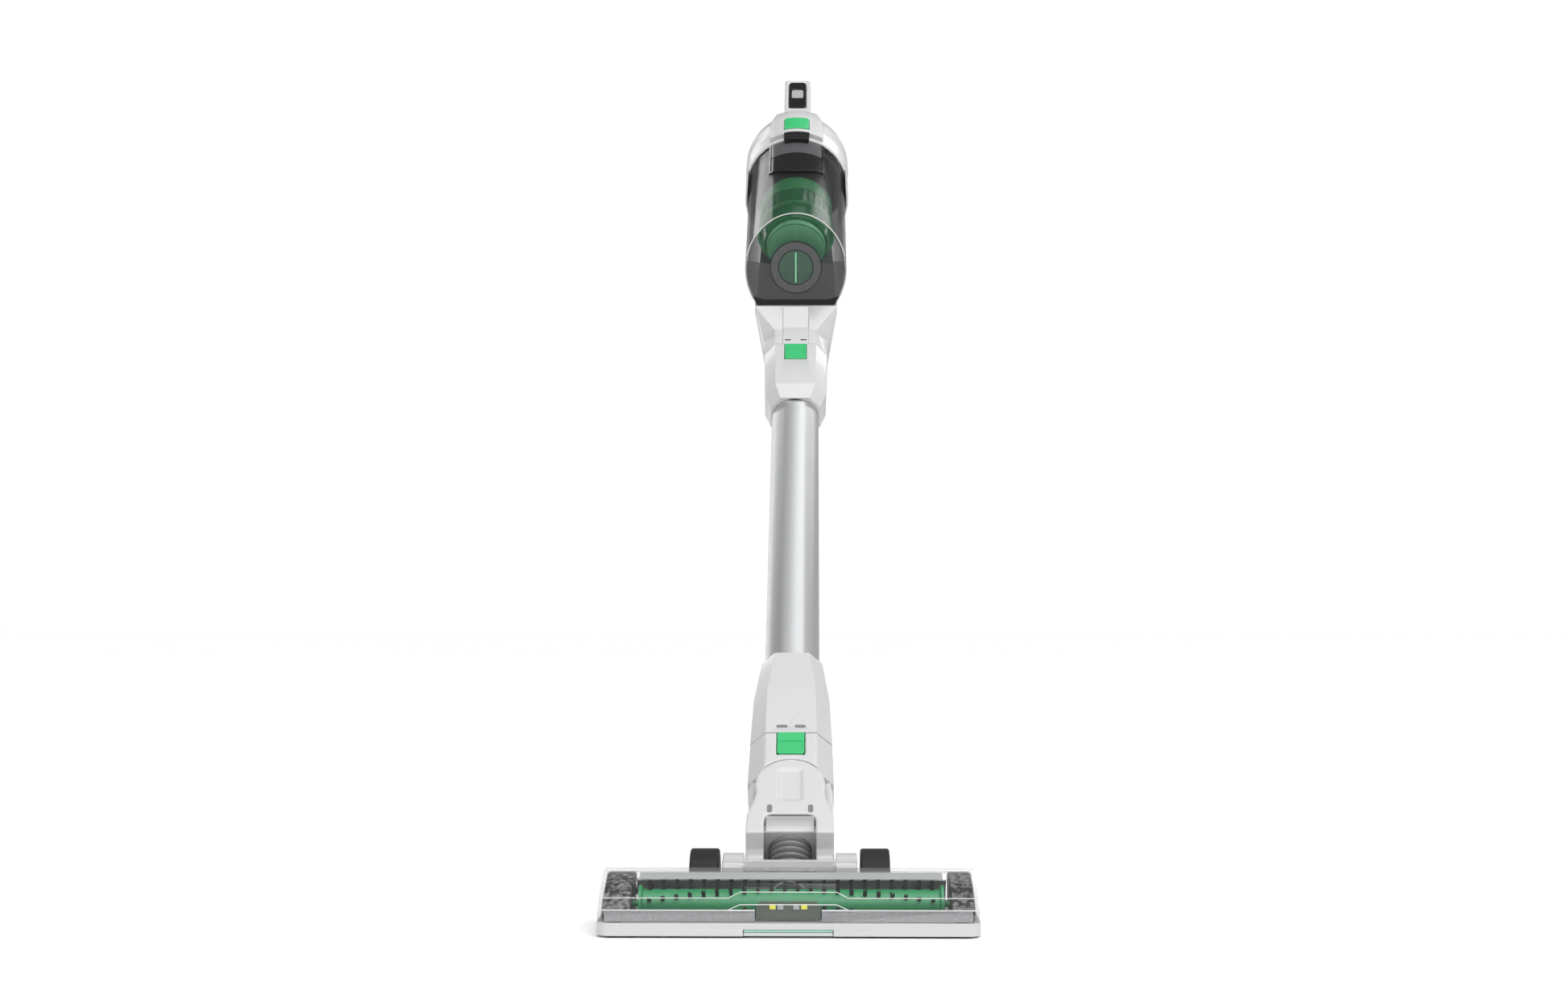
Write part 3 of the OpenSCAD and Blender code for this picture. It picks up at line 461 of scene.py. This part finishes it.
def make_hose():
    """Corrugated hose: a ribbed tube bent along the CAD hose's arc, from the neck to the duct."""
    bend, top, drop = 43.0, 23.2, radians(34)
    crest, valley, pitch, bore = 15.1, 12.7, 3.6, 11.6
    length = bend * drop
    around, per_rib = 64, 12
    steps = int(length / pitch * per_rib)
    verts = []
    outer = []
    for k in range(steps + 1):
        turn = drop * k / steps
        wave = cos(2 * pi * k / per_rib)
        radius = valley + (crest - valley) * (0.5 + 0.5 * wave) ** 0.45
        outer.append((turn, radius))
    profile = outer + [(t, bore) for t, _ in reversed(outer)]
    for turn, radius in profile:
        for i in range(around):
            a = 2 * pi * i / around
            reach = bend - radius * cos(a)
            verts.append((radius * sin(a), bend - reach * cos(turn), top - reach * sin(turn)))
    mesh = mesh_from("hose_ribs", verts, ring_faces(len(profile), around, close_loop=True), WAND, 60)
    piece = add_piece("hose_ribs", mesh, None, "hose_grey", ["hose"])
    reach = Vector((0, bend * (1 - cos(drop)), top - bend * sin(drop)))
    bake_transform(piece)


make_hose()


# The barrel is slimmer than the CAD core, as in the photo, so that the tufts stand deep.
ROLL_R = 9.4


def make_roll():
    """The roll's core: a slim green barrel between two flanges, on its shaft with the belt pulley."""
    spin = JOINTS["brush_spin"]["pos_m"]
    low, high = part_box("roll_core")
    x0, x1 = low[0] / MM, high[0] / MM
    shaft, pulley, flange = 2.4, 9.0, 12.0
    outline = [(0.05, x0), (shaft, x0), (shaft, x0 + 3.5), (pulley, x0 + 3.5), (pulley, x0 + 11.5),
               (shaft, x0 + 11.5), (shaft, x0 + 18.5), (flange, x0 + 18.5), (flange, x0 + 20.5),
               (ROLL_R, x0 + 21.5), (ROLL_R, x1 - 11), (flange, x1 - 10), (flange, x1 - 8),
               (shaft, x1 - 8), (shaft, x1), (0.05, x1)]
    verts = []
    for i in range(96):
        a = 2 * pi * i / 96
        verts += [(x, spin[1] / MM + r * cos(a), spin[2] / MM + r * sin(a)) for r, x in outline]
    mesh = mesh_from("roll_barrel", verts, ring_faces(96, len(outline), close_loop=True), FLOOR, 30)
    add_piece("roll_barrel", mesh, "brush_roll", "green_roll", ["roll_core"])


def make_bristles():
    """Blocks of nylon tufts in six chevron rows on each half of the roll."""
    rng = random.Random(7)
    spin = JOINTS["brush_spin"]["pos_m"]
    axis_y, axis_z = spin[1] / MM, spin[2] / MM
    middle, run, root, tip = 1.5, 97.0, ROLL_R - 0.2, 15.95
    tufts, strands = 11, 34
    verts, faces = [], []
    for side in (-1, 1):
        for row in range(6):
            for k in range(tufts):
                along = 4 + k * (run - 8) / (tufts - 1)
                turn = radians(53 + row * 60 + 52 * along / run)
                for _ in range(strands):
                    dx, da = rng.uniform(-1.15, 1.15), rng.uniform(-0.08, 0.08)
                    lean = dx * 0.12 + rng.gauss(0, 0.08)
                    reach = tip - abs(rng.gauss(0, 0.22))
                    start = len(verts)
                    for r, w in ((root, 0.22), (reach, 0.16)):
                        cx = middle + side * along + dx + (lean if r > root else 0)
                        for q in range(3):
                            b = 2 * pi * q / 3
                            a = turn + da + w * sin(b) / r
                            verts.append((cx + w * cos(b), axis_y + r * cos(a), axis_z + r * sin(a)))
                    faces += [(start, start + 1, start + 4, start + 3),
                              (start + 1, start + 2, start + 5, start + 4),
                              (start + 2, start, start + 3, start + 5),
                              (start, start + 2, start + 1), (start + 3, start + 4, start + 5)]
    mesh = mesh_from("bristle_tufts", verts, faces, FLOOR)
    add_piece("bristle_tufts", mesh, "brush_roll", "bristle", ["roll_bristles"])


make_roll()
make_bristles()


# ---- dust bin ----

BIN_V, BIN_R, BIN_FLAT = 68.0, 47.5, 38.0
FACE_U = 671.5
EYE, EYE_R, RING_R = 35.3, 16.2, 24.0
CYCLONE_V = 76.0
FACE_SLOPE = atan(38.5 / 77.5)


def bin_point(angle, radius, u):
    """A point round the bin's axis, with the angle counted from the wand's front."""
    return (radius * sin(angle), -(BIN_V + radius * cos(angle)), u)


def curved_block(name, half_angle, r0, r1, u0, u1, slot, steps=24, start=None, stands_for=(),
                 arch=0.0, arch_top=0.0):
    """A block bent round the bin: from -half_angle (or start) to half_angle in degrees.

    arch lifts the outer ends of its lower edge, arch_top those of its upper edge."""
    first = -half_angle if start is None else start
    verts = []
    for k in range(steps + 1):
        a = radians(first + (half_angle - first) * k / steps)
        rise = sin(a * 90 / 33.4) ** 2
        low, high = u0 + arch * rise, u1 + arch_top * rise
        verts += [bin_point(a, r0, low), bin_point(a, r1, low), bin_point(a, r1, high),
                  bin_point(a, r0, high)]
    mesh = mesh_from(name, verts, ring_faces(steps + 1, 4), WAND)
    piece = add_piece(name, mesh, "dust_bin", slot, stands_for)
    edge = piece.modifiers.new("edge_radius", "BEVEL")
    edge.width = 0.35 * MM
    edge.segments = 2
    edge.limit_method = "ANGLE"
    return piece


def face_point(x, along, lift):
    """A point on the bin's slanted end: along runs up from the foot, lift points outwards."""
    v = BIN_FLAT + along * cos(FACE_SLOPE) + lift * sin(FACE_SLOPE)
    u = FACE_U + 0.8 + along * sin(FACE_SLOPE) - lift * cos(FACE_SLOPE)
    return (x, -v, u)


def face_plate(name, outline, low, high, slot):
    """A thin plate on the bin's end, from an outline of [x, along] points."""
    verts = [face_point(x, k, lift) for lift in (low, high) for x, k in outline]
    mesh = mesh_from(name, verts, ring_faces(2, len(outline)), WAND)
    return add_piece(name, mesh, "dust_bin", slot)


def face_ring(name, radius, thick, middle, slot):
    """A fine raised ring on the bin's end."""
    around, section = 96, 8
    verts = []
    for i in range(around):
        a = 2 * pi * i / around
        for k in range(section):
            b = 2 * pi * k / section
            r = radius + thick * cos(b)
            verts.append(face_point(r * cos(a), middle + r * sin(a), thick * sin(b)))
    mesh = mesh_from(name, verts, ring_faces(around, section, close_loop=True), WAND, 80)
    return add_piece(name, mesh, "dust_bin", slot)


def turned(name, profile, body, slot, v=BIN_V, around=96, stands_for=(), sharp=30):
    """A turned piece round an axis along the wand, from a closed [radius, height] outline."""
    verts = []
    for i in range(around):
        a = 2 * pi * i / around
        verts += [(r * sin(a), -(v + r * cos(a)), u) for r, u in profile]
    mesh = mesh_from(name, verts, ring_faces(around, len(profile), close_loop=True), WAND, sharp)
    return add_piece(name, mesh, body, slot, stands_for)


def stadium(name, middle, wide, tall, thick, body, slot, facing="v"):
    """A flat plate with round ends, thick deep, that faces the wand's front or its foot."""
    x0, v0, u0 = middle
    r = min(wide, tall) / 2
    dx, dz = wide / 2 - r, tall / 2 - r
    verts = []
    for depth in (0, -thick):
        for k in range(32):
            a = 2 * pi * (k + 0.5) / 32
            x, z = x0 + copysign(dx, cos(a)) + r * cos(a), copysign(dz, sin(a)) + r * sin(a)
            verts.append((x, -(v0 + depth), u0 + z) if facing == "v" else (x, -(v0 + z), u0 - depth))
    return add_piece(name, mesh_from(name, verts, ring_faces(2, 32), WAND), body, slot)


def make_panel():
    """The dark raised panel with its rails and sill, and the latch's tongue above it."""
    skin, rail, latch = BIN_R + 0.05, BIN_R + 1.9, BIN_R + 6.1
    low, top, sag = 788, 851.8, 7.5
    curved_block("panel_plate", 33.2, skin, BIN_R + 0.9, 789.5, 851.6, "bin_trim",
                 stands_for=["bin_panel"], arch=sag)
    curved_block("panel_rail_left", -30.5, skin, rail, low, top, "bin_trim", 6, -33.4, arch=sag)
    curved_block("panel_rail_right", 33.4, skin, rail, low, top, "bin_trim", 6, 30.5, arch=sag)
    curved_block("panel_sill", 33.4, skin, rail, low, 790.6, "bin_trim", arch=sag, arch_top=sag)
    curved_block("panel_glass", 30.4, BIN_R + 0.95, BIN_R + 1.4, 826, top, "panel_glass")
    curved_block("latch_tongue", 13.5, BIN_R + 3.9, latch, top, 860.2, "bin_trim", 8)
    curved_block("latch_root", 13.5, BIN_R + 0.9, latch, 846.2, top, "bin_trim", 8)


def half_width(along):
    """Half the width of the bin's slanted end, a rim inside its edge."""
    return sqrt(BIN_R ** 2 - (BIN_V - BIN_FLAT - along * cos(FACE_SLOPE)) ** 2) - 1.5


def make_face():
    """The slanted end: haze round a grey disc with two rings, the eye with its line, and the foot."""
    haze = []
    clear = RING_R + 0.2
    for k in range(41):
        a = radians(-188 + 196 * k / 40)
        reach = clear
        while EYE + reach * sin(a) > 1.0 and abs(reach * cos(a)) < half_width(EYE + reach * sin(a)):
            reach += 0.25
        for r, lift in ((clear, 0.05), (reach, 0.05), (reach, 0.35), (clear, 0.35)):
            haze.append(face_point(r * cos(a), EYE + r * sin(a), lift))
    add_piece("face_haze", mesh_from("face_haze", haze, ring_faces(41, 4), WAND), "dust_bin", "face_haze")
    iris = EYE_R - 0.3
    circle = [(iris * cos(k * pi / 24), EYE + iris * sin(k * pi / 24)) for k in range(48)]
    face_plate("face_eye", circle, 0.05, 0.2, "face_eye")
    face_plate("face_line", [(-0.5, 21.5), (0.5, 21.5), (0.5, 49), (-0.5, 49)], 0.2, 0.5, "cyclone_rib")
    low, high = half_width(1), half_width(8)
    foot = [(-low, 0.4), (low, 0.4), (high + 0.6, 8.4), (low - 1.5, 6.2), (low - 7, 5.2),
            (7 - low, 5.2), (1.5 - low, 6.2), (-high - 0.6, 8.4)]
    face_plate("face_foot", foot, 0.1, 0.8, "rubber")
    loop = []
    for i in range(72):
        a = 2 * pi * i / 72
        for r, lift in ((EYE_R, 0.1), (RING_R, 0.1), (RING_R, 0.3), (EYE_R, 0.3)):
            loop.append(face_point(r * cos(a), EYE + r * sin(a), lift))
    add_piece("face_disc", mesh_from("face_disc", loop, ring_faces(72, 4, close_loop=True), WAND),
              "dust_bin", "face_disc")
    face_ring("face_ring_outer", RING_R, 0.5, EYE, "rubber")
    face_ring("face_ring_inner", EYE_R, 0.5, EYE, "rubber")


def make_painted_rim_highlight():
    """The fine pale bead where the slanted end meets the bin's wall, round its upper part only: a painted
    highlight for the light that the rim catches.
    """
    bead = []
    thick = 0.55
    for k in range(49):
        t = radians(-76 + 152 * k / 48)
        x, y, _ = bin_point(t, BIN_R - 0.35, 0)
        foot = FACE_U - (y + BIN_FLAT) * tan(FACE_SLOPE)
        for q in range(8):
            b = 2 * pi * q / 8
            bead.append((x + thick * cos(b) * sin(t), y - thick * cos(b) * cos(t), foot + thick * sin(b)))
    add_piece("face_rim_painted_highlight", mesh_from("face_rim_painted_highlight", bead, ring_faces(49, 8), WAND, 80), "dust_bin",
              "face_rim_painted_highlight")


def make_cyclone():
    """The shroud's cap, band, skirt, rib and fins, and the flap of the inlet."""
    turned("cyclone_cap", [(0.5, 709.7), (26.6, 709.7), (27.9, 711.2), (27.9, 717.6), (0.5, 717.6)],
           "dust_bin", "cyclone_cap", CYCLONE_V)
    turned("cyclone_band", [(34.05, 766), (34.9, 766.6), (34.9, 786.6), (34.05, 787.4)],
           "dust_bin", "cyclone_band", CYCLONE_V)
    turned("cyclone_skirt", [(33.9, 736), (36.6, 736.6), (36.6, 739.4), (33.9, 740)],
           "dust_bin", "cyclone_band", CYCLONE_V)
    stadium("cyclone_rib", (0, CYCLONE_V, 709.6), 0.9, 52, 0.5, "dust_bin", "cyclone_rib", "u")
    stadium("inlet_flap", (0, 41.9, 715), 26, 26, 1.0, "dust_bin", "dark_plastic")
    verts, faces = [], []
    for a in range(0, 360, 10):
        for da, r in ((-1.2, 34.0), (1.2, 34.0), (0.7, 35.3), (-0.7, 35.3)):
            t = radians(a + da)
            verts += [(r * sin(t), -(CYCLONE_V + r * cos(t)), u) for u in (739, 765)]
        k = len(verts) - 8
        faces += [(k, k + 2, k + 4, k + 6), (k + 1, k + 3, k + 5, k + 7), (k, k + 1, k + 3, k + 2),
                  (k + 2, k + 3, k + 5, k + 4), (k + 4, k + 5, k + 7, k + 6), (k + 6, k + 7, k + 1, k)]
    add_piece("cyclone_fins", mesh_from("cyclone_fins", verts, faces, WAND), "dust_bin",
              "green_clear")


make_panel()
make_face()
make_painted_rim_highlight()
make_cyclone()


# ---- floor head ----

def strip_along_x(name, x0, x1, section, slot):
    """A long bar on the floor head, from a closed [y, z] outline."""
    verts = [(x, y, z) for x in (x0, x1) for y, z in section]
    return add_piece(name, mesh_from(name, verts, ring_faces(2, len(section))), "floor_head", slot)


def make_head_front():
    """The frosted lip; the moulded line behind the cover's front and the cover's two creases, drawn as pale beads
    that are painted highlights on those real edges; and the grey LEDs.
    """
    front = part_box("head_base")[0][1] / MM
    for side, x0, x1 in (("left", -118.8, -21.6), ("right", 21.6, 118.8)):
        strip_along_x("front_lip_" + side, x0, x1,
                      [(front + 3.8, 10.0), (front + 4.4, 10.0), (front + 6.7, 17.2), (front + 6.1, 17.2)],
                      "front_lip")
        # A pale strip along the cover's front edge: a painted highlight.
        strip_along_x("cover_edge_painted_highlight_" + side, x0 - 4 * (side == "left"), x1 + 4 * (side == "right"),
                      [(front + 3.75, 17.2), (front + 4.05, 17.05), (front + 4.35, 17.75),
                       (front + 4.0, 17.8)], "cover_edge_painted_highlight")
    # The two creases get pale beads: painted highlight lines on the clear cover's real creases.
    crease_low = [(122.5, 4.0, 17.5), (39, 4.0, 17.5), (31.2, 4.2, 21.0)]
    crease_high = [(122.5, 11.0, 24.2), (39, 11.0, 24.2), (31.2, 12.0, 28.0)]
    bead = 0.32
    for name, half in (("lower_crease_painted_highlight", crease_low), ("upper_crease_painted_highlight", crease_high)):
        path = [(-x, d, z) for x, d, z in half] + half[::-1]
        verts = []
        for x, d, z in path:
            for q in range(6):
                b = 2 * pi * q / 6
                verts.append((x, front + d + bead * cos(b), z + bead * sin(b)))
        add_piece(name, mesh_from(name, verts, ring_faces(len(path), 6), FLOOR, 60), "floor_head",
                  "cover_edge_painted_highlight")
    strip_along_x("cover_band", -99, 101.5, [(front + 37, 33.3), (front + 46.8, 36.3),
                                             (front + 46.8, 35.6), (front + 37, 32.95)], "duct_silver")
    strip_along_x("lens_sill", -28.6, 28.6, [(front + 0.7, 1.6), (front + 4.4, 1.6), (front + 4.4, 3.75),
                                             (front + 0.3, 3.75)], "white_shell")
    for x in (-5.1, 5.1):
        tilt = radians(78)
        verts = []
        for dx in (-1.9, 1.9):
            for d, h in ((1.25, 6.8), (2.1, 6.8), (2.1, 10.2), (1.25, 10.2)):
                verts.append((x + dx, front + 8.6 + h * cos(tilt) - d * sin(tilt),
                              10.4 + h * sin(tilt) + d * cos(tilt)))
        name = "led_grey_left" if x < 0 else "led_grey_right"
        add_piece(name, mesh_from(name, verts, ring_faces(2, 4)), "floor_head", "led_grey")


make_head_front()


def make_window_slope():
    """The white slope inside the neck's window, from its upper edge down to the hose's ring."""
    outline = [(25.2, 31.0), (23.4, 30.2), (21.2, 28.6), (19.4, 26.4), (18.1, 23.8), (17.8, 24.4),
               (18.8, 27.0), (20.7, 29.2), (23.0, 30.8), (25.2, 31.5)]
    verts = [(x, -v, u) for x in (-16.7, 16.7) for v, u in outline]
    add_piece("window_slope", mesh_from("window_slope", verts, ring_faces(2, len(outline)), WAND, 60),
              "neck", "white_shell")


def make_slot_shades():
    """Dark plates flush in the slots of the neck, the lower collar and the dock, a pair of each: painted shade for
    the shadowed inside of each opening.
    """
    for side, x in (("left", -1), ("right", 1)):
        # Each stadium is a dark plate that stands for a slot's shadowed inside: painted shade.
        stadium("neck_slot_shade_" + side, (x * 14.3, 26.0, 38.5), 3.6, 7.4, 1.0, "neck", "hose_grey")
        stadium("collar_slot_shade_" + side, (x * 6.5, 25.9, 120), 8.0, 3.0, 0.6, "wand", "hose_grey")
        stadium("dock_slot_shade_" + side, (x * 7.3, 25.45, 632), 6.0, 1.7, 1.0, "handset", "dark_plastic")


make_window_slope()
make_slot_shades()

make_camera()
make_studio()
